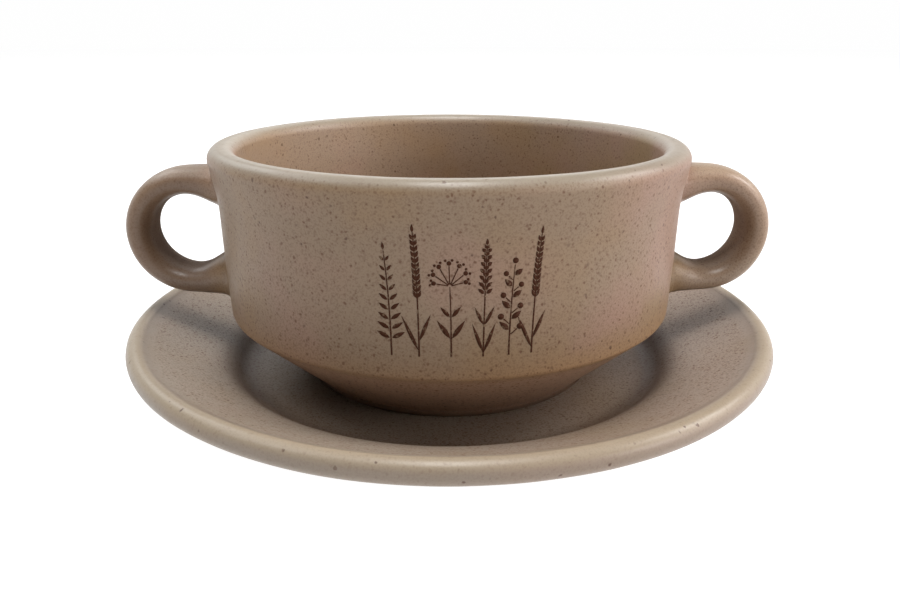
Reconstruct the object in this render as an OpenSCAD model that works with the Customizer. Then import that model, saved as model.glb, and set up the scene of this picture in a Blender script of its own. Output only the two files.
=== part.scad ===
// Two-handled stoneware soup cup standing on its saucer.
// Millimetres, +Z up, origin at the bottom centre of the saucer's foot ring, handles along X.

/* [Saucer] */
// Diameter across the rolled edge
saucer_d = 165; // [150:1:200]
// Height from the table to the top of the rolled edge
saucer_h = 22; // [20:0.5:30]
// Diameter of the rolled edge's round section
edge_t = 5.2; // [4:0.1:7]
// Where the flange meets the rolled edge, as an angle round its section
edge_groove = 138; // [125:1:160]
// How far the flange falls from the top of the edge to the break of the well
flange_drop = 10; // [8:0.1:11.5]
// Radial run of the sloping side of the well
well_run = 3.8; // [3:0.1:8]
// Rounding of the break between the flange and the well
break_fillet = 12; // [4:0.5:16]
// Rounding of the well's floor corner, and of the saucer's underside
well_fillet = 6; // [3:0.5:8]
// Thickness of the flange and of the side of the well
saucer_t = 4.7; // [3.5:0.1:5.5]
// Thickness of the well's floor
saucer_floor_t = 5; // [4:0.1:6]
// Height of the saucer's foot ring
saucer_foot_h = 2.5; // [1.5:0.1:4]
// Width of the saucer's foot ring
saucer_foot_w = 5; // [3:0.1:8]
// How far the foot ring stands in from the edge of the well's floor
saucer_foot_inset = 4.5; // [2:0.1:8]
// Clear floor round the cup's foot
well_margin = 16.5; // [8:0.5:19]

/* [Cup] */
// Height of the cup, foot to lip
cup_h = 59.2; // [56:0.2:80]
// Diameter across the lip
lip_d = 118.6; // [117:0.2:130]
// Thickness of the lip
lip_t = 6.6; // [5.8:0.1:8]
// Width of the flat on top of the lip, between its two rounded edges
lip_flat = 0.8; // [0.4:0.1:2]
// Diameter of the neck under the lip
neck_d = 115.2; // [112:0.1:117]
// Height of the neck above the foot
neck_h = 46.5; // [40:0.1:48]
// Diameter of the wall at the middle of its height
belly_d = 114.8; // [111:0.1:117]
// Height of that middle above the foot
belly_h = 32.5; // [30:0.1:38]
// Diameter of the shoulder, where the wall turns in to the base
shoulder_d = 113.8; // [104:0.1:115]
// Height of the shoulder above the foot
shoulder_h = 18.4; // [14:0.1:22]
// Rounding of the shoulder
shoulder_fillet = 1.4; // [1:0.1:6]
// Thickness of the wall
wall_t = 5.2; // [4:0.1:5.7]
// Thickness of the floor over the foot's hollow
cup_floor_t = 5; // [4:0.1:8]
// Rounding of the inside between wall and base, and between base and floor
inner_fillet = 12; // [4:0.5:14]
// Diameter of the cup's foot ring
cup_foot_d = 76; // [64:0.5:90]
// Height of the cup's foot ring
cup_foot_h = 1.6; // [1:0.1:4]
// Width of the cup's foot ring
cup_foot_w = 5; // [3:0.1:8]

/* [Handles] */
// How far the handles reach from the cup's axis
handle_reach = 83.4; // [81:0.1:95]
// Thickness of the handle's strap
handle_t = 6.9; // [5.5:0.1:8]
// Width of the handle's strap
handle_w = 14; // [10:0.1:18]
// Radius of the bow, at the middle of the strap
bow_r = 13.1; // [12:0.1:14.5]
// Height of the bow's centre above the cup's foot
bow_h = 35.9; // [34:0.1:38]
// Height of the upper root above the cup's foot
upper_root_h = 47.6; // [46:0.1:49]
// Height of the lower root above the cup's foot
lower_root_h = 24.2; // [23:0.1:26]
// How much the upper root swells, all round
upper_swell = 1.9; // [0:0.1:3]
// How much the lower root swells, all round
lower_swell = 3; // [0:0.1:3.5]
// Length over which the roots swell
swell_len = 11; // [9:0.5:14]
// Thickness of the slip between handle and wall
slip_t = 0.6; // [0.3:0.1:1.2]
// How far the slip shows round the handle's root
slip_margin = 1; // [0.4:0.1:2]

/* [Hidden] */

clay = "#a58d78";
bare_clay = "#b09a84";
$fn = 96;
fillet_steps = 8;
lip_steps = 12;
strap_sides = 24;
bow_steps = 20;
limb_steps = 9;
edge_fillet = 0.8;
foot_fillet = 1;
side_fillet = 40;
fillet_share = 0.49;
limb_pull = 0.45;

// Heights and radii that follow from the sizes above
well_z = saucer_foot_h + saucer_floor_t;
flange_z = saucer_h - flange_drop;
well_r = cup_foot_d / 2 + well_margin;
flange_r = well_r + well_run;
edge_r = edge_t / 2;
edge_c = [saucer_d / 2 - edge_r, saucer_h - edge_r];
saucer_foot_r = well_r - saucer_foot_inset;
cup_foot_r = cup_foot_d / 2;
lip_r = (lip_t - lip_flat) / 2;
lip_c = [lip_d / 2 - lip_r, cup_h - lip_r];
lip_inner_c = lip_c - [lip_flat, 0];
bow_c = [handle_reach - handle_t / 2 - bow_r, bow_h];

// Plane geometry
function unit(v) = v / norm(v);
function plane(p) = [p[0], p[1]];
function sharp(path) = [for (p = path) [p[0], p[1], 0]];
function polar(c, r, a) = c + r * [cos(a), sin(a)];
function arc(c, r, a0, a1, n) = [for (i = [0:n]) polar(c, r, a0 + (a1 - a0) * i / n)];

// Angle on a circle where the line from p touches it, with the circle on the given side of that line
function touch(p, c, r, side) =
    let (d = c - p)
    atan2(d[1], d[0]) - side * asin(r / norm(d)) - side * 90;

// One corner at b, between a and c, rounded to radius r or as far as the shorter side lets it
function corner(a, b, c, r, n) =
    let (u = unit(a - b), v = unit(c - b), half = acos(u * v) / 2)
    r <= 0 || half > 89.9 ? [b] :
    let (run = min(r / tan(half), fillet_share * min(norm(a - b), norm(c - b))),
        fit_r = run * tan(half),
        mid = b + unit(u + v) * fit_r / sin(half),
        start = b + u * run - mid,
        end = b + v * run - mid,
        a0 = atan2(start[1], start[0]),
        turn = (atan2(end[1], end[0]) - a0 + 540) % 360 - 180)
    arc(mid, fit_r, a0, a0 + turn, n);

// A closed outline of [r, z, rounding] corners as plain points
function rounded(outline) =
    let (m = len(outline))
    [for (i = [0:m - 1])
        each corner(plane(outline[(i + m - 1) % m]), plane(outline[i]), plane(outline[(i + 1) % m]),
            outline[i][2], fillet_steps)];

function side_normal(a, b) = let (d = unit(b - a)) [-d[1], d[0]];

// The middle corner of a-b-c moved by d to the left of the way from a to c
function mitre(a, b, c, d) =
    let (n = side_normal(a, b), m = side_normal(b, c))
    b + d * (n + m) / (1 + n * m);

// The point at height z on the line through a and b
function at_height(a, b, z) = a + (b - a) * (z - a[1]) / (b[1] - a[1]);

// Saucer: a dish with a rolled edge, a sloping flange, a well and a foot ring
module saucer() {
    floor_mid = [0, well_z];
    floor_end = [well_r, well_z];
    flange_in = [flange_r, flange_z];
    flange_out = polar(edge_c, edge_r, edge_groove);
    under_side = mitre(flange_out, flange_in, floor_end, saucer_t);
    under_floor = mitre(flange_in, floor_end, floor_mid, saucer_t);
    under_corner = at_height(under_floor, under_side, saucer_foot_h);
    edge_from = touch(under_side, edge_c, edge_r, 1);
    color(clay) rotate_extrude() polygon(rounded(concat(
        [[0, saucer_foot_h, 0],
        [saucer_foot_r - saucer_foot_w, saucer_foot_h, foot_fillet],
        [saucer_foot_r - saucer_foot_w, 0, edge_fillet],
        [saucer_foot_r, 0, edge_fillet],
        [saucer_foot_r, saucer_foot_h, foot_fillet],
        [under_corner[0], under_corner[1], foot_fillet],
        [under_side[0], under_side[1], well_fillet]],
        sharp(arc(edge_c, edge_r, edge_from, edge_groove, 2 * lip_steps)),
        [[flange_in[0], flange_in[1], break_fillet],
        [floor_end[0], floor_end[1], well_fillet],
        [0, well_z, 0]])));
}

// Outside of the cup above its foot ring, bottom to top, and where the lip's rounded edges start and end
cup_side = [[cup_foot_r, cup_foot_h], [shoulder_d / 2, shoulder_h],
    [belly_d / 2, belly_h], [neck_d / 2, neck_h]];
neck_in = cup_side[3] - [wall_t, 0];
belly_in = cup_side[2] - [wall_t, 0];
shoulder_in = mitre(cup_side[0], cup_side[1], cup_side[2], wall_t);
base_in = cup_side[0] + wall_t * side_normal(cup_side[0], cup_side[1]);
cup_floor_z = cup_foot_h + cup_floor_t;
floor_in = at_height(base_in, shoulder_in, cup_floor_z);
lip_from = touch(cup_side[3], lip_c, lip_r, 1);
lip_to = touch(neck_in, lip_inner_c, lip_r, -1);

// From the foot ring up to the top of the lip
cup_outside = concat(
    [[cup_foot_r, cup_foot_h, foot_fillet],
    [shoulder_d / 2, shoulder_h, shoulder_fillet],
    [belly_d / 2, belly_h, side_fillet],
    [neck_d / 2, neck_h, side_fillet]],
    sharp(arc(lip_c, lip_r, lip_from, 90, lip_steps)));

// Bowl of the cup, modelled on its own foot
module bowl() {
    rotate_extrude() polygon(rounded(concat(
        [[0, cup_foot_h, 0],
        [cup_foot_r - cup_foot_w, cup_foot_h, foot_fillet],
        [cup_foot_r - cup_foot_w, 0, edge_fillet],
        [cup_foot_r, 0, edge_fillet]],
        cup_outside,
        sharp(arc(lip_inner_c, lip_r, 90, lip_to, lip_steps)),
        [[neck_in[0], neck_in[1], side_fillet],
        [belly_in[0], belly_in[1], side_fillet],
        [shoulder_in[0], shoulder_in[1], inner_fillet],
        [floor_in[0], floor_in[1], inner_fillet],
        [0, cup_floor_z, 0]])));
}

// Everything inside the wall's outer face, and above the lip's top, grown outwards by extra
module inside_wall(extra) {
    top = cup_h + handle_w;
    side = rounded(concat(
        [[0, 0, 0],
        [cup_foot_r, 0, 0]],
        cup_outside,
        [[lip_c[0], top, 0],
        [0, top, 0]]));
    rotate_extrude() polygon([for (p = side) [p[0] > 0 ? p[0] + extra : 0, p[1]]]);
}

module on_saucer() {
    translate([0, 0, well_z]) children();
}

module cup_body() {
    color(clay) on_saucer() bowl();
}

// Path of a handle in the plane of its bow, from the upper root to the lower root
function wall_r(h) = lookup(h, [for (p = cup_side) [p[1], p[0]]]);
function bezier(a, b, c, d, t) =
    pow(1 - t, 3) * a + 3 * pow(1 - t, 2) * t * b + 3 * (1 - t) * t * t * c + pow(t, 3) * d;

// Limb from the middle of the wall out to the end of the bow, level at both of its ends
function limb(root_h, bow_end) =
    let (root = [wall_r(root_h) - wall_t / 2, root_h], pull = [(bow_end[0] - root[0]) * limb_pull, 0])
    [for (i = [0:limb_steps - 1])
        bezier(root, root + pull, bow_end - pull, bow_end, i / limb_steps)];
function backwards(path) = [for (i = [len(path) - 1:-1:0]) path[i]];

upper_limb = limb(upper_root_h, bow_c + [0, bow_r]);
lower_limb = limb(lower_root_h, bow_c - [0, bow_r]);
handle_path = concat(upper_limb, arc(bow_c, bow_r, 90, -90, bow_steps), backwards(lower_limb));

// How much the strap swells at a point of the path, from nothing on the bow to all of it at the wall
function swell(p) =
    let (amount = p[1] > bow_h ? upper_swell : lower_swell,
        near = max(0, 1 - (p[0] - wall_r(p[1])) / swell_len))
    amount * near * near;

// Oval section of the strap at step i of the path
function strap_ring(i) =
    let (last = len(handle_path) - 1,
        across = side_normal(handle_path[max(0, i - 1)], handle_path[min(last, i + 1)]),
        p = handle_path[i],
        half_t = handle_t / 2 + swell(p),
        half_w = handle_w / 2 + swell(p))
    [for (k = [0:strap_sides - 1])
        let (a = 360 * k / strap_sides, q = p + across * half_t * cos(a))
        [q[0], half_w * sin(a), q[1]]];

module strap() {
    rings = len(handle_path);
    n = strap_sides;
    points = [for (i = [0:rings - 1]) each strap_ring(i)];
    sides = [for (i = [0:rings - 2], k = [0:n - 1])
        let (a = i * n + k, b = i * n + (k + 1) % n)
        each [[a, b, b + n], [a, b + n, a + n]]];
    first_end = [for (k = [1:n - 2]) [0, k + 1, k]];
    last = (rings - 1) * n;
    last_end = [for (k = [1:n - 2]) [last, last + k, last + k + 1]];
    polyhedron(points, concat(sides, first_end, last_end));
}

// Handle on the +X side, trimmed to sit on its two slip joints
module handle() {
    on_saucer() difference() {
        strap();
        inside_wall(slip_t);
    }
}

module right_handle() {
    color(clay) handle();
}

module left_handle() {
    color(clay) rotate([0, 0, 180]) handle();
}

// Oval with straight sides, w wide and h high, as seen along X
module long_hole(w, h) {
    square([h, w - h], center = true);
    for (side = [-1, 1]) translate([0, side * (w - h) / 2]) circle(d = h);
}

// Slip joint on the +X side: a thin curved pad between the wall and the root of a handle
module slip(root_h, amount) {
    pad_h = handle_t + 2 * (amount + slip_margin);
    pad_w = handle_w + 2 * (amount + slip_margin);
    on_saucer() intersection() {
        translate([0, 0, root_h]) rotate([0, 90, 0]) linear_extrude(handle_reach) long_hole(pad_w, pad_h);
        difference() {
            inside_wall(slip_t);
            inside_wall(0);
        }
    }
}

module right_upper_slip() {
    color(bare_clay) slip(upper_root_h, upper_swell);
}

module right_lower_slip() {
    color(bare_clay) slip(lower_root_h, lower_swell);
}

module left_upper_slip() {
    color(bare_clay) rotate([0, 0, 180]) slip(upper_root_h, upper_swell);
}

module left_lower_slip() {
    color(bare_clay) rotate([0, 0, 180]) slip(lower_root_h, lower_swell);
}

saucer();
cup_body();
left_handle();
right_handle();
left_upper_slip();
left_lower_slip();
right_upper_slip();
right_lower_slip();
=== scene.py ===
"""Looks of a two-handled stoneware soup cup standing on its saucer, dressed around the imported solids."""
import bisect
import math
from typing import NamedTuple

import bmesh
import bpy
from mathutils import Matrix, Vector, noise


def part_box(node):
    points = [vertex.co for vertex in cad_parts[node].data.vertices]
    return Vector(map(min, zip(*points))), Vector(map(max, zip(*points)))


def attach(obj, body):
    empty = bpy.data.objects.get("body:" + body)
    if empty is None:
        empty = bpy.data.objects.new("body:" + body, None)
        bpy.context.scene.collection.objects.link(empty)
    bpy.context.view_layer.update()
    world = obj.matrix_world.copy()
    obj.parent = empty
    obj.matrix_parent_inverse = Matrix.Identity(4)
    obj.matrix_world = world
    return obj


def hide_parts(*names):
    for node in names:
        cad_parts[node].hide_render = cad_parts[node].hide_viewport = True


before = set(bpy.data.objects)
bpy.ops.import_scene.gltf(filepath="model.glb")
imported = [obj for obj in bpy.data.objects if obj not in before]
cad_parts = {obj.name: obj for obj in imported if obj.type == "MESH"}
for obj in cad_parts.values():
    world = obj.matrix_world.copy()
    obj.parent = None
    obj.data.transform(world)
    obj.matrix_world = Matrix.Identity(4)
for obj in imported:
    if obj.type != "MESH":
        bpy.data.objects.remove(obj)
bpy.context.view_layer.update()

# Sizes in millimetres, the same as in the solids
MM = 0.001
SAUCER_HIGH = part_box("saucer")[1] / MM
CUP_LOW, CUP_HIGH = (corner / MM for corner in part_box("cup_body"))
SAUCER_R = SAUCER_HIGH.x
SAUCER_H = SAUCER_HIGH.z
SEAT = CUP_LOW.z
CUP_H = CUP_HIGH.z - SEAT
LIP_R = CUP_HIGH.x
HANDLE_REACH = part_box("right_handle")[1].x / MM

EDGE_R = 2.6
EDGE_GROOVE = math.radians(138)
FLANGE_R = 58.3
FLANGE_DROP = 10.0
WELL_R = 54.5
BREAK_FILLET = 12.0
WELL_FILLET = 6.0
SAUCER_T = 4.7
SAUCER_FOOT_R = 50.0
SAUCER_FOOT_H = 2.5
SAUCER_FOOT_W = 5.0

CUP_FOOT_R = 38.0
CUP_FOOT_H = 1.6
CUP_FOOT_W = 5.0
CUP_FLOOR_H = 6.6
SHOULDER_R, SHOULDER_H = 56.9, 18.4
BELLY_R, BELLY_H = 57.4, 32.5
NECK_R, NECK_H = 57.6, 46.5
WALL_T = 5.2
LIP_T = 6.6
LIP_FLAT = 0.8
SHOULDER_FILLET = 1.4
INNER_FILLET = 12.0
SIDE_FILLET = 40.0
CUP_SIDE = [Vector((CUP_FOOT_R, CUP_FOOT_H)), Vector((SHOULDER_R, SHOULDER_H)),
            Vector((BELLY_R, BELLY_H)), Vector((NECK_R, NECK_H))]

HANDLE_T = 6.9
HANDLE_W = 14.0
BOW_R = 13.1
BOW_H = 35.9
BOW_X = HANDLE_REACH - HANDLE_T / 2 - BOW_R
UPPER_ROOT_H = 47.6
LOWER_ROOT_H = 24.2
UPPER_SWELL = 1.9
LOWER_SWELL = 3.0
SWELL_LEN = 11.0
LIMB_PULL = 0.45

EDGE_FILLET = 0.8
FOOT_FILLET = 1.0
FILLET_SHARE = 0.49
STRAIGHT = math.radians(89.9)

# Fineness of the meshes
LONGEST_SIDE = 2.2
FILLET_STEPS = 10
ROLL_STEPS = 18
SAUCER_SIDES = 320
CUP_SIDES = 288
LIMB_STEPS = 24
BOW_STEPS = 60
STRAP_RINGS = 88
STRAP_SIDES = 56
SLIP_SPOKES = 80
SLIP_STEPS = 10


# Plane outlines
def polar(centre, radius, angle):
    return centre + radius * Vector((math.cos(angle), math.sin(angle)))


def arc(centre, radius, start, end, steps):
    return [polar(centre, radius, start + (end - start) * i / steps) for i in range(steps + 1)]


def touch(point, centre, radius, side):
    """Angle on a circle where the line from a point touches it."""
    d = centre - point
    return math.atan2(d.y, d.x) - side * (math.asin(radius / d.length) + math.pi / 2)


def side_normal(a, b):
    d = (b - a).normalized()
    return Vector((-d.y, d.x))


def mitre(a, b, c, distance):
    """The middle corner of a-b-c moved to the left of the way from a to c."""
    n, m = side_normal(a, b), side_normal(b, c)
    return b + distance * (n + m) / (1 + n.dot(m))


def at_height(a, b, z):
    return a + (b - a) * (z - a.y) / (b.y - a.y)


def fillet(a, b, c, radius):
    """Corner b between a and c, rounded as far as its shorter side lets it."""
    u, v = (a - b).normalized(), (c - b).normalized()
    half = math.acos(max(-1, min(1, u.dot(v)))) / 2
    if radius <= 0 or half > STRAIGHT:
        return [b]
    run = min(radius / math.tan(half), FILLET_SHARE * min((a - b).length, (c - b).length))
    radius = run * math.tan(half)
    middle = b + (u + v).normalized() * radius / math.sin(half)
    first, last = b + u * run - middle, b + v * run - middle
    start = math.atan2(first.y, first.x)
    turn = (math.atan2(last.y, last.x) - start + 3 * math.pi) % (2 * math.pi) - math.pi
    return arc(middle, radius, start, start + turn, FILLET_STEPS)


def rounded(outline):
    """Points of an outline of (corner, rounding) pairs, its long sides cut up evenly."""
    end = len(outline) - 1
    points = []
    for i, (corner, radius) in enumerate(outline):
        points += fillet(outline[max(0, i - 1)][0], corner, outline[min(end, i + 1)][0], radius)
    fine = [points[0]]
    for p in points[1:]:
        q = fine[-1]
        cuts = math.ceil((p - q).length / LONGEST_SIDE)
        fine += [q.lerp(p, k / cuts) for k in range(1, cuts + 1)]
    return fine


def sharp(points):
    return [(p, 0) for p in points]


def saucer_outline():
    """From the axis under the saucer, round its edge, to the axis on top of its well."""
    floor_mid, floor_end = Vector((0, SEAT)), Vector((WELL_R, SEAT))
    flange_in = Vector((FLANGE_R, SAUCER_H - FLANGE_DROP))
    edge = Vector((SAUCER_R - EDGE_R, SAUCER_H - EDGE_R))
    flange_out = polar(edge, EDGE_R, EDGE_GROOVE)
    under_side = mitre(flange_out, flange_in, floor_end, SAUCER_T)
    under_floor = mitre(flange_in, floor_end, floor_mid, SAUCER_T)
    foot_in = SAUCER_FOOT_R - SAUCER_FOOT_W
    return rounded([
        (Vector((0, SAUCER_FOOT_H)), 0),
        (Vector((foot_in, SAUCER_FOOT_H)), FOOT_FILLET),
        (Vector((foot_in, 0)), EDGE_FILLET),
        (Vector((SAUCER_FOOT_R, 0)), EDGE_FILLET),
        (Vector((SAUCER_FOOT_R, SAUCER_FOOT_H)), FOOT_FILLET),
        (at_height(under_floor, under_side, SAUCER_FOOT_H), FOOT_FILLET),
        (under_side, WELL_FILLET),
        *sharp(arc(edge, EDGE_R, touch(under_side, edge, EDGE_R, 1), EDGE_GROOVE, 2 * ROLL_STEPS)),
        (flange_in, BREAK_FILLET),
        (floor_end, WELL_FILLET),
        (floor_mid, 0)])


def cup_outline():
    """From the axis under the cup, up the outside and over the lip, to the axis on its floor."""
    foot, shoulder, belly, neck = CUP_SIDE
    lip_r = (LIP_T - LIP_FLAT) / 2
    edge = Vector((LIP_R - lip_r, CUP_H - lip_r))
    edge_in = edge - Vector((LIP_FLAT, 0))
    neck_in, belly_in = neck - Vector((WALL_T, 0)), belly - Vector((WALL_T, 0))
    shoulder_in = mitre(foot, shoulder, belly, WALL_T)
    base_in = foot + WALL_T * side_normal(foot, shoulder)
    foot_in = CUP_FOOT_R - CUP_FOOT_W
    lip = arc(edge, lip_r, touch(neck, edge, lip_r, 1), math.pi / 2, ROLL_STEPS)
    lip += arc(edge_in, lip_r, math.pi / 2, touch(neck_in, edge_in, lip_r, -1), ROLL_STEPS)
    points = rounded([
        (Vector((0, CUP_FOOT_H)), 0),
        (Vector((foot_in, CUP_FOOT_H)), FOOT_FILLET),
        (Vector((foot_in, 0)), EDGE_FILLET),
        (Vector((CUP_FOOT_R, 0)), EDGE_FILLET),
        (foot, FOOT_FILLET),
        (shoulder, SHOULDER_FILLET),
        (belly, SIDE_FILLET),
        (neck, SIDE_FILLET),
        *sharp(lip),
        (neck_in, SIDE_FILLET),
        (belly_in, SIDE_FILLET),
        (shoulder_in, INNER_FILLET),
        (at_height(base_in, shoulder_in, CUP_FLOOR_H), INNER_FILLET),
        (Vector((0, CUP_FLOOR_H)), 0)])
    return [p + Vector((0, SEAT)) for p in points]


CUP_POINTS = cup_outline()
WIDEST = max(range(len(CUP_POINTS)), key=lambda i: CUP_POINTS[i].x)
FOOT_TOP = next(i for i, p in enumerate(CUP_POINTS) if p.x > CUP_FOOT_R - EDGE_FILLET / 2)
WALL = CUP_POINTS[FOOT_TOP:WIDEST + 1]
WALL_Z = [p.y for p in WALL]


def wall_radius(z):
    """Radius of the cup's outer face at a height."""
    i = min(max(bisect.bisect(WALL_Z, z), 1), len(WALL) - 1)
    return at_height(WALL[i - 1], WALL[i], z).x


# Making pieces
DRAWN_IN = 0.9985
STEADY_BELOW = 5.0
WARP, WARP_SIZE = 0.10, 38.0
RIPPLE, RIPPLE_SIZE = 0.03, 9.0
CLAY_SEED = 7
noise.seed_set(CLAY_SEED)


def settled(p):
    """A point with the slight unevenness of fired clay, which fades out at the table.

    The whole is drawn in by a hair, so that its high spots keep within the true size.
    """
    share = min(1, max(0, p.z / STEADY_BELOW))
    warp = WARP * noise.noise_vector(p / WARP_SIZE) + RIPPLE * noise.noise_vector(p / RIPPLE_SIZE)
    return p * DRAWN_IN + share * warp


def add_object(name, data):
    thing = bpy.data.objects.new(name, data)
    bpy.context.scene.collection.objects.link(thing)
    return thing


def make_piece(name, points, faces, body, nodes, slot, material):
    mesh = bpy.data.meshes.new(name)
    mesh.from_pydata([settled(p) * MM for p in points], [], faces)
    cleaner = bmesh.new()
    cleaner.from_mesh(mesh)
    bmesh.ops.recalc_face_normals(cleaner, faces=cleaner.faces)
    cleaner.to_mesh(mesh)
    cleaner.free()
    mesh.shade_smooth()
    mesh.materials.append(material)
    piece = add_object(name, mesh)
    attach(piece, body)
    if nodes:
        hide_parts(*nodes)


def whole_turn(count):
    """Angles spread evenly, once round."""
    return [2 * math.pi * k / count for k in range(count)]


def round_axis(radius, angle, z):
    return Vector((radius * math.cos(angle), radius * math.sin(angle), z))


def turned(outline, sides):
    """Points and faces of an outline turned about the axis, where it starts and ends."""
    rings = outline[1:-1]
    points = [round_axis(0, 0, outline[0].y), round_axis(0, 0, outline[-1].y)]
    points += [round_axis(p.x, angle, p.y) for p in rings for angle in whole_turn(sides)]
    last = 2 + (len(rings) - 1) * sides
    faces = []
    for j in range(sides):
        k = (j + 1) % sides
        faces += [(0, 2 + k, 2 + j), (1, last + j, last + k)]
        for low in range(2, last, sides):
            faces.append((low + j, low + k, low + sides + k, low + sides + j))
    return points, faces


def tube_faces(rings, sides, closed):
    """Quads between rings of points, with end caps unless the last ring joins the first."""
    faces = []
    for i in range(rings if closed else rings - 1):
        low, high = i * sides, (i + 1) % rings * sides
        for j in range(sides):
            k = (j + 1) % sides
            faces.append((low + j, low + k, high + k, high + j))
    if not closed:
        faces += [tuple(range(sides))[::-1], tuple(range((rings - 1) * sides, rings * sides))]
    return faces


# Handles
STRAP_FULLNESS = 2.35
PATH_NEAR = 0.4


def side_radius(h):
    """Radius of the cup's side at a height over its foot, before its corners are rounded."""
    for a, b in zip(CUP_SIDE, CUP_SIDE[1:]):
        if h <= b.y:
            return at_height(a, b, h).x
    return NECK_R


def bezier(a, b, c, d, t):
    return (1 - t) ** 3 * a + 3 * (1 - t) ** 2 * t * b + 3 * (1 - t) * t * t * c + t ** 3 * d


def handle_path():
    """Middle line of a handle in the plane of its bow, from its upper root to its lower root."""
    bow = Vector((BOW_X, BOW_H))
    limbs = []
    for root_h, side in ((UPPER_ROOT_H, 1), (LOWER_ROOT_H, -1)):
        root = Vector((side_radius(root_h) - WALL_T / 2, root_h))
        end = bow + Vector((0, side * BOW_R))
        pull = Vector(((end.x - root.x) * LIMB_PULL, 0))
        limbs.append([bezier(root, root + pull, end - pull, end, i / LIMB_STEPS) for i in range(LIMB_STEPS)])
    return limbs[0] + arc(bow, BOW_R, math.pi / 2, -math.pi / 2, BOW_STEPS) + limbs[1][::-1]


PATH = handle_path()
PATH_AT = [0.0]
for before, after in zip(PATH, PATH[1:]):
    PATH_AT.append(PATH_AT[-1] + (after - before).length)
PATH_LEN = PATH_AT[-1]


def on_path(s):
    i = min(max(bisect.bisect(PATH_AT, s), 1), len(PATH) - 1)
    return PATH[i - 1].lerp(PATH[i], (s - PATH_AT[i - 1]) / (PATH_AT[i] - PATH_AT[i - 1]))


def fuller(wave):
    """A sine or cosine bent so that the oval it draws is a little squarer."""
    return math.copysign(abs(wave) ** (2 / STRAP_FULLNESS), wave)


def strap_point(s, angle):
    """A point of the strap's skin on the +X side: s along its path, angle round its section."""
    p = on_path(s)
    across = side_normal(on_path(max(0, s - PATH_NEAR)), on_path(min(PATH_LEN, s + PATH_NEAR)))
    amount = UPPER_SWELL if p.y > BOW_H else LOWER_SWELL
    swell = amount * max(0, 1 - (p.x - side_radius(p.y)) / SWELL_LEN) ** 2
    q = p + across * fuller(math.cos(angle)) * (HANDLE_T / 2 + swell)
    return Vector((q.x, fuller(math.sin(angle)) * (HANDLE_W / 2 + swell), q.y + SEAT))


def turned_over(points, side):
    """The same points on the -X side, half a turn round the axis, where side is -1."""
    return [Vector((side * p.x, side * p.y, p.z)) for p in points]


def strap(side):
    points = [strap_point(PATH_LEN * i / (STRAP_RINGS - 1), angle)
              for i in range(STRAP_RINGS) for angle in whole_turn(STRAP_SIDES)]
    return turned_over(points, side), tube_faces(STRAP_RINGS, STRAP_SIDES, False)


SLIP_ON_STRAP = 2.2
SLIP_ON_WALL = 1.6
SLIP_LOW = SEAT + 17.2
SLIP_HIGH = SEAT + 55.6
SUNK = 0.03
BURIED = 0.7
ROOT_LEN = 14.0
HALVINGS = 40


def slip_ring(upper, side):
    """A smooth fillet of slip all round the root of a handle."""
    def along(u):
        return u if upper else PATH_LEN - u

    def core(u):
        p = on_path(along(u))
        return Vector((p.x, 0, p.y + SEAT))

    def skin(u, angle):
        return strap_point(along(u), angle)

    def way_out(angle):
        """How far from its root a line along the strap comes out of the wall."""
        near, far = 0.0, ROOT_LEN
        for _ in range(HALVINGS):
            middle = (near + far) / 2
            p = skin(middle, angle)
            outside = math.hypot(p.x, p.y) > wall_radius(p.z)
            near, far = (near, middle) if outside else (middle, far)
        return near

    def unrolled(p):
        """A point of the wall as if the wall were rolled out flat."""
        return Vector((math.atan2(p.y, p.x) * wall_radius(p.z), p.z))

    angles = whole_turn(SLIP_SPOKES)
    ways = [way_out(angle) for angle in angles]
    meets = [skin(u, angle) for u, angle in zip(ways, angles)]
    flat = [unrolled(meet) for meet in meets]
    middle = sum(flat, Vector((0, 0))) / SLIP_SPOKES
    points = []
    for k, (u, angle, meet) in enumerate(zip(ways, angles, meets)):
        run = flat[(k + 1) % SLIP_SPOKES] - flat[k - 1]
        away = Vector((run.y, -run.x)).normalized()
        if away.dot(flat[k] - middle) < 0:
            away = -away
        spot = flat[k] + away * SLIP_ON_WALL
        spot.y = min(max(spot.y, SLIP_LOW), SLIP_HIGH)
        on_wall = round_axis(wall_radius(spot.y) - SUNK, spot.x / wall_radius(flat[k].y), spot.y)
        end = u + SLIP_ON_STRAP
        on_strap = skin(end, angle)
        on_strap += (core(end) - on_strap).normalized() * SUNK
        for i in range(SLIP_STEPS + 1):
            t = i / SLIP_STEPS
            points.append((1 - t) ** 2 * on_strap + 2 * t * (1 - t) * meet + t * t * on_wall)
        inwards = (core(u) - meet).normalized()
        points.append(meet + inwards * BURIED - Vector((BURIED, 0, 0)))
    return turned_over(points, side), tube_faces(SLIP_SPOKES, SLIP_STEPS + 2, True)


# Sprigs printed on the front of the wall
PRINT_MIDDLE = 1.6
PRINT_FOOT = 31.2
INK = 0.05
STEM_W = 0.36
STEM_TAPER = 0.5
RAY_W = 0.22
LEAF_CLEAR = 0.30
LEAF_STEPS = 5
LEAF_BULGE = 0.8
DOT_SIDES = 12


def right_of(way):
    return Vector((way.y, -way.x))


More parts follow.
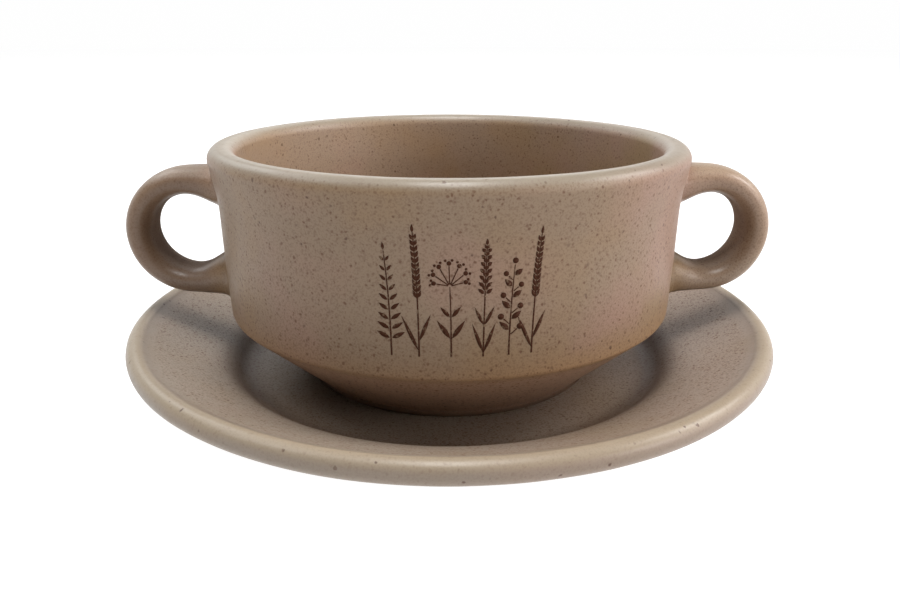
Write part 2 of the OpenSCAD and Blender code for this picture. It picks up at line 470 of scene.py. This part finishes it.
class Sprig:
    """One plant: a bent stem with shapes set along it, as flat outlines in millimetres on the wall.

    A place on the stem goes from 0 at its foot to 1 at its tip, and a turn is in degrees from the stem.
    """

    def __init__(self, foot, height, bend):
        self.foot, self.height, self.bend = foot, height, bend
        self.shapes = []

    def at(self, t):
        return Vector((self.foot + self.bend * t * t, self.height * t))

    def way(self, t, turn):
        angle = math.atan2(2 * self.bend * t, self.height) + math.radians(turn)
        return Vector((math.sin(angle), math.cos(angle)))

    def stem(self, top):
        """A stem from the foot, as short pieces that taper towards its top."""
        steps = round(top * self.height)
        right, left = [], []
        for i in range(steps + 1):
            middle = self.at(top * i / steps)
            half = Vector((STEM_W / 2 * (1 - STEM_TAPER * i / steps), 0))
            right.append(middle + half)
            left.append(middle - half)
        self.shapes += [list(corners) for corners in zip(left, left[1:], right[1:], right)]

    def leaf(self, t, turn, length, width, clear=LEAF_CLEAR):
        """A pointed leaf that starts a little clear of the stem's middle."""
        along = self.way(t, turn)
        across = right_of(along)
        base = self.at(t) + clear * along
        halves = [(i / LEAF_STEPS, width / 2 * math.sin(math.pi * (i / LEAF_STEPS) ** LEAF_BULGE))
                  for i in range(1, LEAF_STEPS)]
        right = [base + along * length * share + across * half for share, half in halves]
        left = [base + along * length * share - across * half for share, half in reversed(halves)]
        self.shapes.append([base, *right, base + along * length, *left])

    def pair(self, t, turn, length, width):
        """Two leaves, one on each side."""
        for side in (-1, 1):
            self.leaf(t, side * turn, length, width)

    def dot(self, t, turn, reach, radius):
        """A round dot at a reach from the stem."""
        centre = self.at(t) + reach * self.way(t, turn)
        self.shapes.append([polar(centre, radius, -angle) for angle in whole_turn(DOT_SIDES)])

    def ray(self, t, turn, near, far):
        """A thin straight stalk from one reach to another."""
        along = self.way(t, turn)
        across = right_of(along) * RAY_W / 2
        a, b = self.at(t) + along * near, self.at(t) + along * far
        self.shapes.append([a - across, b - across, b + across, a + across])


def places(low, high, count):
    """Numbered places along a stem, spread evenly from the low one to just short of the high one."""
    return [(i, low + (high - low) * i / count) for i in range(count)]


def fern(s):
    s.stem(0.97)
    for i, t in places(0.16, 0.96, 9):
        s.pair(t, 62 - 3 * i, 3.0 - 0.22 * i, 0.95 - 0.05 * i)
    s.leaf(0.97, 0, 1.6, 0.6, 0.15)


def umbel(s):
    head, beside = 0.79, 7.162
    s.stem(0.78)
    s.pair(0.20, 34, 4.6, 1.0)
    s.pair(0.44, 40, 2.8, 0.8)
    for i in range(-3, 4):
        turn = 26 * i
        far = 4.6 - 0.16 * i * i
        s.ray(head, turn, 0.35, far - 0.55)
        s.dot(head, turn, far, 0.46)
        for side in (-1, 1):
            s.dot(head, turn + side * beside, far + 0.62, 0.27)


def lavender(s):
    s.stem(0.98)
    s.pair(0.03, 20, 6.6, 0.75)
    s.pair(0.28, 26, 4.2, 0.70)
    for i, t in places(0.56, 0.98, 7):
        size = 1.55 - 0.10 * i
        s.pair(t, 50, size, 0.78)
        s.pair(t + 0.022, 20, size * 0.9, 0.55)
    s.leaf(0.98, 0, 1.3, 0.6, 0.12)


def berries(s):
    s.stem(0.97)
    for i, t in places(0.22, 0.92, 6):
        turn = -48 if i % 2 else 48
        s.ray(t, turn, 0.30, 2.0 - 0.12 * i)
        s.dot(t, turn, 2.75 - 0.12 * i, 0.68 - 0.03 * i)
        s.leaf(t + 0.05, -turn, 2.7 - 0.16 * i, 1.15)
    s.dot(0.97, 0, 0.85, 0.6)


def grass(s):
    s.stem(0.99)
    s.leaf(0.04, -24, 8.0, 0.8)
    s.leaf(0.12, 22, 6.2, 0.8)
    for i, t in places(0.47, 0.97, 11):
        s.pair(t, 24, 1.75 - 0.05 * i, 0.66)
    s.leaf(0.985, 0, 1.7, 0.6, 0.12)


# Each plant with its foot's place, its height and its bend
MEADOW = [(fern, -14.2, 22.5, -1.2), (grass, -8.6, 26.0, -1.0), (umbel, -2.2, 19.0, -0.5),
          (lavender, 4.2, 23.5, 0.4), (berries, 9.4, 19.5, 0.8), (grass, 14.2, 25.0, 1.2)]


def printed_meadow():
    """Thin closed patches on the wall for a row of separate sprigs."""
    shapes = []
    for plant, *stem in MEADOW:
        sprig = Sprig(*stem)
        plant(sprig)
        shapes += sprig.shapes
    points, faces = [], []
    for shape in shapes:
        first = len(points)
        for lift in (-INK, INK):
            for p in shape:
                z = PRINT_FOOT + p.y
                turn = (PRINT_MIDDLE + p.x) / wall_radius(z) - math.pi / 2
                points.append(round_axis(wall_radius(z) + lift, turn, z))
        faces += [tuple(first + k for k in face) for face in tube_faces(2, len(shape), False)]
    return points, faces


# Laying out materials
class Graph:
    """Short forms for laying out the nodes of a tree."""

    def __init__(self, tree):
        self.nodes, self.links = tree.nodes, tree.links

    def feed(self, socket, value):
        if isinstance(value, bpy.types.NodeSocket):
            self.links.new(value, socket)
        else:
            socket.default_value = value

    def add(self, kind, inputs=None, **settings):
        node = self.nodes.new(kind)
        for key, value in settings.items():
            setattr(node, key, value)
        for key, value in (inputs or {}).items():
            self.feed(node.inputs[key], value)
        return node

    def math(self, operation, *values, clamp=False):
        node = self.add("ShaderNodeMath", dict(enumerate(values)), operation=operation, use_clamp=clamp)
        return node.outputs[0]

    def times(self, product, *others):
        for other in others:
            product = self.math("MULTIPLY", product, other)
        return product

    def hypot(self, a, b):
        return self.math("POWER", self.math("ADD", self.times(a, a), self.times(b, b)), 0.5)

    def vector(self, operation, *values):
        return self.add("ShaderNodeVectorMath", dict(enumerate(values)), operation=operation).outputs[0]

    def split(self, vector):
        return self.add("ShaderNodeSeparateXYZ", {0: vector}).outputs

    def blend(self, share, a, b):
        return self.add("ShaderNodeMix", {0: share, 6: a, 7: b}, data_type="RGBA").outputs[2]

    def tinted(self, colour, tint):
        return self.vector("MULTIPLY", colour, tint)

    def ease(self, value, low, high, start=0.0, end=1.0):
        """From a start at low to an end at high, with a soft change between."""
        node = self.add("ShaderNodeMapRange", {"Value": value, "From Min": low, "From Max": high,
                                               "To Min": start, "To Max": end},
                        interpolation_type="SMOOTHSTEP")
        return node.outputs[0]

    def noise(self, where, scale, detail):
        return self.add("ShaderNodeTexNoise", {"Vector": where, "Scale": scale, "Detail": detail}).outputs

    def cloud(self, where, size, detail=2.0):
        """Soft noise from 0 to 1 with patches of about the given size."""
        return self.noise(where, 1 / size, detail)["Fac"]


class Finish(Graph):
    """The nodes of one material, with its shader and the place on the piece in millimetres."""

    def __init__(self, name):
        self.material = bpy.data.materials.new(name)
        self.material.use_nodes = True
        super().__init__(self.material.node_tree)
        self.shader = self.nodes["Principled BSDF"]
        where = self.add("ShaderNodeTexCoord").outputs["Object"]
        self.where = self.vector("MULTIPLY", where, (1 / MM,) * 3)

    def shade(self, name, value):
        self.feed(self.shader.inputs[name], value)


# Colours of the glazes, and of the painted light and shade laid on them
TAUPE = (0.228, 0.160, 0.104, 1)
PINK = (0.264, 0.163, 0.116, 1)
OCHRE = (0.236, 0.154, 0.085, 1)
WARM = (0.335, 0.186, 0.088, 1)
# Painted shade: dark brown laid where shade falls, on the side of the saucer's well, at the cup's foot and
# inside the handles' bows
PAINTED_SHADE_BROWN = (0.105, 0.064, 0.040, 1)
# Painted light: a lighter colour for the base under the shoulder, standing in for light bounced up from the
# saucer
BASE_BOUNCE_LIGHT = (0.390, 0.255, 0.180, 1)
DUN = (0.240, 0.158, 0.103, 1)
ROSE_DUN = (0.260, 0.170, 0.119, 1)
GREY_DUN = (0.250, 0.176, 0.125, 1)
GREY_TAUPE = (0.264, 0.217, 0.171, 1)
GREY_PINK = (0.275, 0.214, 0.167, 1)
GREY_OCHRE = (0.260, 0.201, 0.145, 1)
LIP_CREAM = (0.262, 0.231, 0.182, 1)
# Pale glaze on the saucer's rolled edge, also used as painted light on top of the handles' bows
EDGE_CREAM_AND_TOP_LIGHT = (0.325, 0.270, 0.194, 1)
SPECK = (0.112, 0.050, 0.025, 1)
DARK_SPECK = (0.078, 0.034, 0.018, 1)
BARE_CLAY = (0.47, 0.36, 0.27, 1)
CUP_TONES = (TAUPE, PINK, OCHRE)
SAUCER_TONES = (GREY_TAUPE, GREY_PINK, GREY_OCHRE)
HANDLE_TONES = (DUN, ROSE_DUN, GREY_DUN)

# Tints, which multiply a colour; those of the inside and of the handles are painted light and shade
# Painted light: the inside of the cup made lighter, more on the left than on the right, where light falls into
# it
INSIDE_LIGHT_LEFT = (1.38, 1.43, 1.55)
INSIDE_LIGHT_RIGHT = (1.16, 1.26, 1.34)
# Painted light and shade: the left handle darker and the right one lighter, as light falls from the right
LEFT_HANDLE_SHADE = (0.82, 0.81, 0.81)
RIGHT_HANDLE_LIGHT = (1.11, 1.14, 1.13)
ROLLED_EDGE = (0.93, 0.91, 0.90)

# Patches of tone: their size, and the noise at which they start and are full
PATCH = 30
PATCH_DETAIL = 3.0
OCHRE_SHIFT = (310, 70, 20)
PINK_PATCHES = (0.47, 0.77)
OCHRE_PATCHES = (0.46, 0.70)
PINKER_RIGHT = 0.26
YELLOWER_LOW = 0.12

# Places where the glaze, and the light and shade painted on it, change: where the change starts and where it
# ends
RIGHT_SIDE = (5, 50)
LEFT_TO_RIGHT = (-40, 40)
WALL_TO_LOW = (SEAT + 38.5, SEAT + 16.5)
WALL_TO_WARM = (SEAT + 25.5, SEAT + 12.5)
WALL_TO_BASE = (SEAT + 19.0, SEAT + 15.5)
BASE_TO_FOOT = (SEAT + 2.4, SEAT + 0.8)
LIP_TOP = (SEAT + CUP_H - 2.6, SEAT + CUP_H - 0.2)
WALL_MIDDLE = (-1.2, 1.2)
ABOVE_UNDERSIDE = (SEAT + 3.5, SEAT + 4.5)
WELL_FLOOR_TO_SIDE = (WELL_R - 5.5, WELL_R - 1.0)
FLANGE_TO_SIDE = (FLANGE_R + 4.0, FLANGE_R - 1.5)
ABOVE_SAUCER_UNDERSIDE = (SEAT - 1.5, SEAT - 0.5)
FLANGE_TO_EDGE = (SAUCER_R - 7.5, SAUCER_R - 5.0)
EDGE_TOP_R = (SAUCER_R - 5.0, SAUCER_R - 2.8)
EDGE_TOP_Z = (SAUCER_H - 2.0, SAUCER_H - 0.4)
BOW_TO_INSIDE = (BOW_R + 0.6, BOW_R - 2.2)
BOW_TO_OUTSIDE = (BOW_R + 0.8, BOW_R + 3.2)
BOW_TO_TOP = (SEAT + 38.0, SEAT + 48.0)
FRONT_TO_BACK = (-5, -1)
STRAP_TO_WALL = (64.0, 59.0)
FOOT_UNDERSIDE = (0.5, 0.3)
FACING_DOWN = (-0.9, -0.98)

# Shares of those changes, painted light and shade among them
WARM_SHARE = 0.65
BASE_LIGHT_SHARE = 0.9
PALE_SHARE = 0.8
WELL_SHADE_SHARE = 0.62
BOW_SHADE_SHARE = 0.15
BOW_TOP_LIGHT_SHARE = 0.3
INSIDE_PLAIN = 0.5
PLAIN_CLEARS = 0.75

# Specks
DRIFT = 0.7
DRIFT_SCALE = 1.1
CROWD = 1.45
CROWD_SIZE = 22
GRAIN = 0.42
GRAINS = (0.46, 0.68)
FAINT_STRENGTH = 0.42
SMALLEST = 0.5
FAINTEST = 0.4

# Gloss and relief
SHINE = 0.36
SATIN = 0.38
PLAIN_SHINE = -0.08
HANDLE_SATIN = 0.31
HANDLE_DRY = 0.5
GLOSS_PATCH = 3.0
GLOSS_CHANGE = 0.14
SPECK_ROUGH = 0.10
BARE_ROUGH = 0.85
SKIN_SIZE = 1.6
SKIN_DEPTH = 0.05
PIT_DEPTH = 0.025
RELIEF = 0.7
FINE_DETAIL = 3.0


class Specks(NamedTuple):
    """Spacing, radius and strength of the fine specks, strength of the sand, and share of coarse specks."""
    every: float
    radius: float
    strength: float
    sand: float
    coarse: float


SAUCER_SPECKS = Specks(every=0.80, radius=0.45, strength=0.90, sand=0.46, coarse=0.65)
CUP_SPECKS = Specks(every=0.88, radius=0.43, strength=0.90, sand=0.34, coarse=0.45)
HANDLE_SPECKS = Specks(every=0.85, radius=0.36, strength=0.42, sand=0.30, coarse=0.45)


class Glaze(Finish):
    """Satin speckled stoneware glaze, built up from its tones to its specks, gloss and relief."""

    def __init__(self, name, yellower_low):
        super().__init__(name)
        self.x, self.y, self.z = self.split(self.where)
        self.radius = self.hypot(self.x, self.y)
        pink = self.math("MULTIPLY_ADD", self.ease(self.x, *RIGHT_SIDE), PINKER_RIGHT,
                         self.cloud(self.where, PATCH, PATCH_DETAIL))
        shifted = self.vector("ADD", self.where, OCHRE_SHIFT)
        ochre = self.math("MULTIPLY_ADD", self.ease(self.z, *WALL_TO_LOW), yellower_low,
                          self.cloud(shifted, PATCH, PATCH_DETAIL))
        self.pink = self.ease(pink, *PINK_PATCHES)
        self.ochre = self.ease(ochre, *OCHRE_PATCHES)

    def tone(self, main, pink, ochre):
        return self.blend(self.ochre, self.blend(self.pink, main, pink), ochre)

    def inside_cup(self):
        """1 on the inner face of the cup and 0 on its outer face and its underside."""
        middle = self.add("ShaderNodeMapRange", {
            "Value": self.z, "From Min": SEAT + CUP_FOOT_H, "From Max": SEAT + SHOULDER_H,
            "To Min": CUP_FOOT_R - WALL_T / 2, "To Max": SHOULDER_R - WALL_T / 2}).outputs[0]
        within = self.ease(self.math("SUBTRACT", middle, self.radius), *WALL_MIDDLE)
        return self.times(within, self.ease(self.z, *ABOVE_UNDERSIDE))

    def shaded_well_side(self):
        """1 on the sloping side of the saucer's well, where shade is painted, and 0 elsewhere."""
        return self.times(self.ease(self.radius, *WELL_FLOOR_TO_SIDE), self.ease(self.radius, *FLANGE_TO_SIDE),
                          self.ease(self.z, *ABOVE_SAUCER_UNDERSIDE))

    def from_bow(self):
        """Distance from the middle of a handle's bow, seen from the front."""
        across = self.math("SUBTRACT", self.math("ABSOLUTE", self.x), BOW_X)
        return self.hypot(across, self.math("SUBTRACT", self.z, SEAT + BOW_H))

    def bare_foot(self, foot):
        """1 on the underside of a foot ring that stands at the given height."""
        facing = self.split(self.add("ShaderNodeNewGeometry").outputs["Normal"])[2]
        start, end = FOOT_UNDERSIDE
        return self.times(self.ease(self.z, foot + start, foot + end), self.ease(facing, *FACING_DOWN))

    def specks(self, where, every, share, radius, soft):
        """Mask of round specks, uneven in size and strength: one in each of a share of the cells."""
        cell = self.add("ShaderNodeTexVoronoi", {"Vector": where, "Scale": 1 / every})
        chance = self.add("ShaderNodeSeparateColor", {0: cell.outputs["Color"]}).outputs
        there = self.math("LESS_THAN", chance[0], share)
        largest = radius / every
        size = self.math("MULTIPLY_ADD", chance[1], (1 - SMALLEST) * largest, SMALLEST * largest)
        inside = self.math("SUBTRACT", size, cell.outputs["Distance"])
        mask = self.math("MULTIPLY", inside, every / soft, clamp=True)
        strength = self.math("MULTIPLY_ADD", chance[2], 1 - FAINTEST, FAINTEST)
        return self.times(mask, there, strength)

    def speckled(self, colour, specks, plain):
        """The colour with sand and specks over it, most of them cleared where the glaze is plain."""
        drift = self.vector("SUBTRACT", self.noise(self.where, DRIFT_SCALE, 1.0)["Color"], (0.5,) * 3)
        spot = self.vector("ADD", self.where, self.vector("MULTIPLY", drift, (DRIFT,) * 3))
        crowd = self.times(self.cloud(self.where, CROWD_SIZE), CROWD)
        sand = self.ease(self.cloud(self.where, GRAIN, 1.0), *GRAINS)
        faint = self.specks(spot, every=0.62, share=0.7, radius=0.26, soft=0.14)
        fine = self.specks(spot, specks.every, crowd, specks.radius, specks.radius / 2)
        left = self.math("MULTIPLY_ADD", plain, -PLAIN_CLEARS, 1.0)
        self.fine = self.times(fine, left)
        self.coarse = self.specks(spot, every=2.4, share=specks.coarse, radius=0.50, soft=0.20)
        colour = self.blend(self.times(sand, left, specks.sand), colour, SPECK)
        colour = self.blend(self.times(faint, left, FAINT_STRENGTH), colour, SPECK)
        colour = self.blend(self.times(self.fine, specks.strength), colour, SPECK)
        return self.blend(self.times(self.coarse, specks.strength), colour, DARK_SPECK)

    def gloss(self, plain):
        return self.math("MULTIPLY_ADD", plain, PLAIN_SHINE, SATIN)

    def fired(self, colour, gloss, foot=None):
        """The finished material, bare under a foot ring that stands at the given height."""
        rough = self.math("MULTIPLY_ADD", self.cloud(self.where, GLOSS_PATCH, FINE_DETAIL), GLOSS_CHANGE, gloss)
        rough = self.math("MULTIPLY_ADD", self.fine, SPECK_ROUGH, rough)
        if foot is not None:
            bare = self.bare_foot(foot)
            colour = self.blend(bare, colour, BARE_CLAY)
            rough = self.math("MAXIMUM", rough, self.times(bare, BARE_ROUGH))
        skin = self.times(self.cloud(self.where, SKIN_SIZE, FINE_DETAIL), SKIN_DEPTH)
        pits = self.times(self.math("MAXIMUM", self.fine, self.coarse), PIT_DEPTH)
        height = self.math("SUBTRACT", skin, pits)
        bump = self.add("ShaderNodeBump", {"Height": height, "Distance": MM, "Strength": RELIEF})
        self.shade("Base Color", colour)
        self.shade("Specular IOR Level", SHINE)
        self.shade("Roughness", rough)
        self.shade("Normal", bump.outputs[0])
        return self.material


def saucer_finish():
    """Greyer glaze with painted shade on the sloping side of the well, pale and plainer on the rolled edge."""
    g = Glaze("saucer_glaze", 0.0)
    colour = g.tone(*SAUCER_TONES)
    # Painted shade: the sloping side of the well darkened where the cup shades it
    colour = g.blend(g.times(g.shaded_well_side(), WELL_SHADE_SHARE), colour, PAINTED_SHADE_BROWN)
    pale = g.times(g.ease(g.radius, *EDGE_TOP_R), g.ease(g.z, *EDGE_TOP_Z))
    colour = g.blend(g.times(pale, PALE_SHARE), colour, EDGE_CREAM_AND_TOP_LIGHT)
    plain = g.ease(g.radius, *FLANGE_TO_EDGE)
    colour = g.blend(plain, colour, g.tinted(colour, ROLLED_EDGE))
    colour = g.speckled(colour, SAUCER_SPECKS, plain)
    return g.fired(colour, g.gloss(plain), 0.0)


def bowl_finish():
    """Glaze that is warmer low on the wall, with painted light that makes the base and the inside lighter, the
    inside more on the left than on the right, painted shade at the foot, and pale on the lip.
    """
    g = Glaze("cup_glaze", YELLOWER_LOW)
    inside = g.inside_cup()
    outside = g.math("SUBTRACT", 1.0, inside)
    colour = g.tone(*CUP_TONES)
    colour = g.blend(g.times(g.ease(g.z, *WALL_TO_WARM), outside, WARM_SHARE), colour, WARM)
    # Painted light: the base under the shoulder lighter, standing in for light bounced up from the saucer
    colour = g.blend(g.times(g.ease(g.z, *WALL_TO_BASE), outside, BASE_LIGHT_SHARE), colour, BASE_BOUNCE_LIGHT)
    # Painted shade: dark brown at the foot, where the contact shadow falls
    colour = g.blend(g.ease(g.z, *BASE_TO_FOOT), colour, PAINTED_SHADE_BROWN)
    # Painted light: the inside lighter, more on the left than on the right
    painted_light_inside = g.blend(g.ease(g.x, *RIGHT_SIDE), g.tinted(colour, INSIDE_LIGHT_LEFT), g.tinted(colour, INSIDE_LIGHT_RIGHT))
    colour = g.blend(inside, colour, painted_light_inside)
    pale = g.ease(g.z, *LIP_TOP)
    colour = g.blend(g.times(pale, PALE_SHARE), colour, LIP_CREAM)
    plain = g.math("MAXIMUM", pale, g.times(inside, INSIDE_PLAIN))
    colour = g.speckled(colour, CUP_SPECKS, plain)
    return g.fired(colour, g.gloss(plain), SEAT)


def handle_finish(name):
    """Browner glaze with painted light on top of the bow and painted shade inside it, the left handle painted
    darker and the right one lighter, dry inside the bow, that runs into the wall's at the roots.
    """
    g = Glaze(name, YELLOWER_LOW)
    reach = g.from_bow()
    in_bow = g.ease(reach, *BOW_TO_INSIDE)
    top = g.times(g.ease(reach, *BOW_TO_OUTSIDE), g.ease(g.z, *BOW_TO_TOP))
    colour = g.tone(*HANDLE_TONES)
    # Painted shade: darker inside the bow, on the faces turned to the cup
    colour = g.blend(g.times(in_bow, BOW_SHADE_SHARE), colour, PAINTED_SHADE_BROWN)
    # Painted light: the top of the bow paler, where light from above falls
    colour = g.blend(g.times(top, BOW_TOP_LIGHT_SHARE), colour, EDGE_CREAM_AND_TOP_LIGHT)
    # Painted light and shade: the left handle darker, the right one lighter
    colour = g.blend(g.ease(g.x, *LEFT_TO_RIGHT), g.tinted(colour, LEFT_HANDLE_SHADE), g.tinted(colour, RIGHT_HANDLE_LIGHT))
    colour = g.blend(g.ease(g.radius, *STRAP_TO_WALL), colour, g.tone(*CUP_TONES))
    colour = g.speckled(colour, HANDLE_SPECKS, 0.0)
    dry = g.times(in_bow, g.ease(g.y, *FRONT_TO_BACK))
    return g.fired(colour, g.math("MULTIPLY_ADD", dry, HANDLE_DRY, HANDLE_SATIN))


# Print and floor
INK_BROWN = (0.050, 0.0175, 0.0085, 1)
INK_SHINE = 0.08
INK_ROUGH = 0.50
INK_ROUGH_SIZE, INK_ROUGH_CHANGE = 2.0, 0.2
WEAR_SIZE = 0.7
WEAR_SPOTS = (0.56, 0.72)
WEAR_SHARE = 0.55
PAPER_DARK = (0.24, 0.24, 0.24, 1)
PAPER_LIGHT = (0.26, 0.26, 0.26, 1)
PAPER_PATCH = 60
PAPER_ROUGH = 0.9
PAPER_GLOW = 0.96
WHITE = (1, 1, 1, 1)


def ink():
    """Dark brown print, a little worn, so that the glaze shows through it here and there."""
    g = Finish("print_ink")
    worn = g.times(g.ease(g.cloud(g.where, WEAR_SIZE), *WEAR_SPOTS), WEAR_SHARE)
    rough = g.math("MULTIPLY_ADD", g.cloud(g.where, INK_ROUGH_SIZE), INK_ROUGH_CHANGE, INK_ROUGH)
    g.shade("Base Color", g.blend(worn, INK_BROWN, TAUPE))
    g.shade("Roughness", rough)
    g.shade("Specular IOR Level", INK_SHINE)
    return g.material


def paper():
    """White, very slightly mottled studio floor that glows softly, like a light table."""
    g = Finish("studio_paper")
    g.shade("Base Color", g.blend(g.cloud(g.where, PAPER_PATCH, FINE_DETAIL), PAPER_DARK, PAPER_LIGHT))
    g.shade("Roughness", PAPER_ROUGH)
    g.shade("Specular IOR Level", 0.0)
    g.shade("Emission Color", WHITE)
    g.shade("Emission Strength", PAPER_GLOW)
    return g.material


# Pieces
saucer_glaze = saucer_finish()
cup_glaze = bowl_finish()
handle_glaze = handle_finish("handle_glaze")
slip_glaze = handle_finish("slip_glaze")
make_piece("saucer_dish", *turned(saucer_outline(), SAUCER_SIDES), "saucer",
           ["saucer"], "saucer_glaze", saucer_glaze)
make_piece("cup_bowl", *turned(CUP_POINTS, CUP_SIDES), "cup", ["cup_body"], "cup_glaze", cup_glaze)
for side_name, side in (("right", 1), ("left", -1)):
    make_piece(f"{side_name}_ear", *strap(side), "cup", [f"{side_name}_handle"], "handle_glaze", handle_glaze)
    for level, upper in (("upper", True), ("lower", False)):
        make_piece(f"{side_name}_{level}_fillet", *slip_ring(upper, side), "cup",
                   [f"{side_name}_{level}_slip"], "slip_glaze", slip_glaze)
make_piece("meadow_print", *printed_meadow(), "cup", [], "cup_glaze", ink())

# Studio floor, in metres as all that follows
FLOOR_R = 4.0
FLOOR_SIDES = 64
floor_mesh = bpy.data.meshes.new("studio_floor")
floor_mesh.from_pydata([round_axis(FLOOR_R, angle, 0) for angle in whole_turn(FLOOR_SIDES)], [],
                       [tuple(range(FLOOR_SIDES))])
floor_mesh.materials.append(paper())
floor = add_object("studio_floor", floor_mesh)

# Light
SKY_HORIZON = 0.995
SKY_BEHIND = 0.76
FRONT_TO_BEHIND = (-0.9, 0.9)
BEHIND_TO_HIGH = (0.25, 0.55)
HORIZON_TO_ABOVE = (0.14, 0.34)
AIM = Vector((0, 0, 0.05))
OVERHEAD_WHITE = (1, 0.995, 0.99)
PEACH_WHITE = (1, 0.95, 0.91)
ROSE_WHITE = (1, 0.98, 0.97)
COOL_WHITE = (0.97, 0.99, 1)
PLAIN_WHITE = (1, 1, 1)


def studio_sky():
    """White surroundings, bright along the horizon and behind the part, and dark overhead and in front."""
    world = bpy.data.worlds.new("studio")
    bpy.context.scene.world = world
    world.use_nodes = True
    g = Graph(world.node_tree)
    _, y, z = g.split(g.add("ShaderNodeTexCoord").outputs["Generated"])
    behind = g.ease(y, *FRONT_TO_BEHIND, 0.0, SKY_BEHIND)
    above = g.ease(z, *BEHIND_TO_HIGH, behind, 0.0)
    background = g.nodes["Background"]
    g.feed(background.inputs["Strength"], g.ease(z, *HORIZON_TO_ABOVE, SKY_HORIZON, above))
    g.feed(background.inputs["Color"], WHITE)


def soft_box(name, place, size, power, colour):
    """A soft box of a given width and length, turned towards the part."""
    light = bpy.data.lights.new(name, "AREA")
    light.shape = "RECTANGLE"
    light.size, light.size_y = size
    light.energy = power
    light.color = colour
    box = add_object(name, light)
    box.location = place
    box.rotation_euler = (AIM - Vector(place)).to_track_quat("-Z", "Y").to_euler()


studio_sky()
soft_box("overhead_strip", (0, -0.175, 1.6), (0.20, 0.75), 18.8, OVERHEAD_WHITE)
soft_box("overhead_back_strip", (0, 0.35, 1.6), (0.20, 0.40), 4.8, OVERHEAD_WHITE)
soft_box("right_box", (0.90, -0.08, 0.33), (0.35, 0.35), 1.5, PEACH_WHITE)
soft_box("right_front_box", (0.80, -0.45, 0.30), (0.35, 0.35), 2.9, PEACH_WHITE)
soft_box("right_high_box", (0.75, 0.10, 0.60), (0.35, 0.35), 4.9, ROSE_WHITE)
soft_box("left_high_box", (-0.60, 0, 0.80), (0.40, 0.40), 2.3, COOL_WHITE)
soft_box("left_back_box", (-0.55, 0.53, 0.65), (0.45, 0.45), 2.4, COOL_WHITE)
soft_box("back_box", (0, 0.90, 0.60), (0.60, 0.60), 1.5, PLAIN_WHITE)

# Camera where the photograph was taken from
CAMERA_PLACE = (-0.00328, -0.1971, 0.0928)
CAMERA_DOWN = 0.340
CAMERA_RIGHT = math.radians(1.0)
camera_data = bpy.data.cameras.new("camera")
camera_data.sensor_width = 36.0
camera_data.lens = 30.75
camera_data.clip_start = 0.005
camera = add_object("camera", camera_data)
camera.location = CAMERA_PLACE
camera.rotation_euler = (math.pi / 2 - CAMERA_DOWN, 0, -CAMERA_RIGHT)
bpy.context.scene.camera = camera
bpy.context.scene.view_settings.view_transform = "Standard"
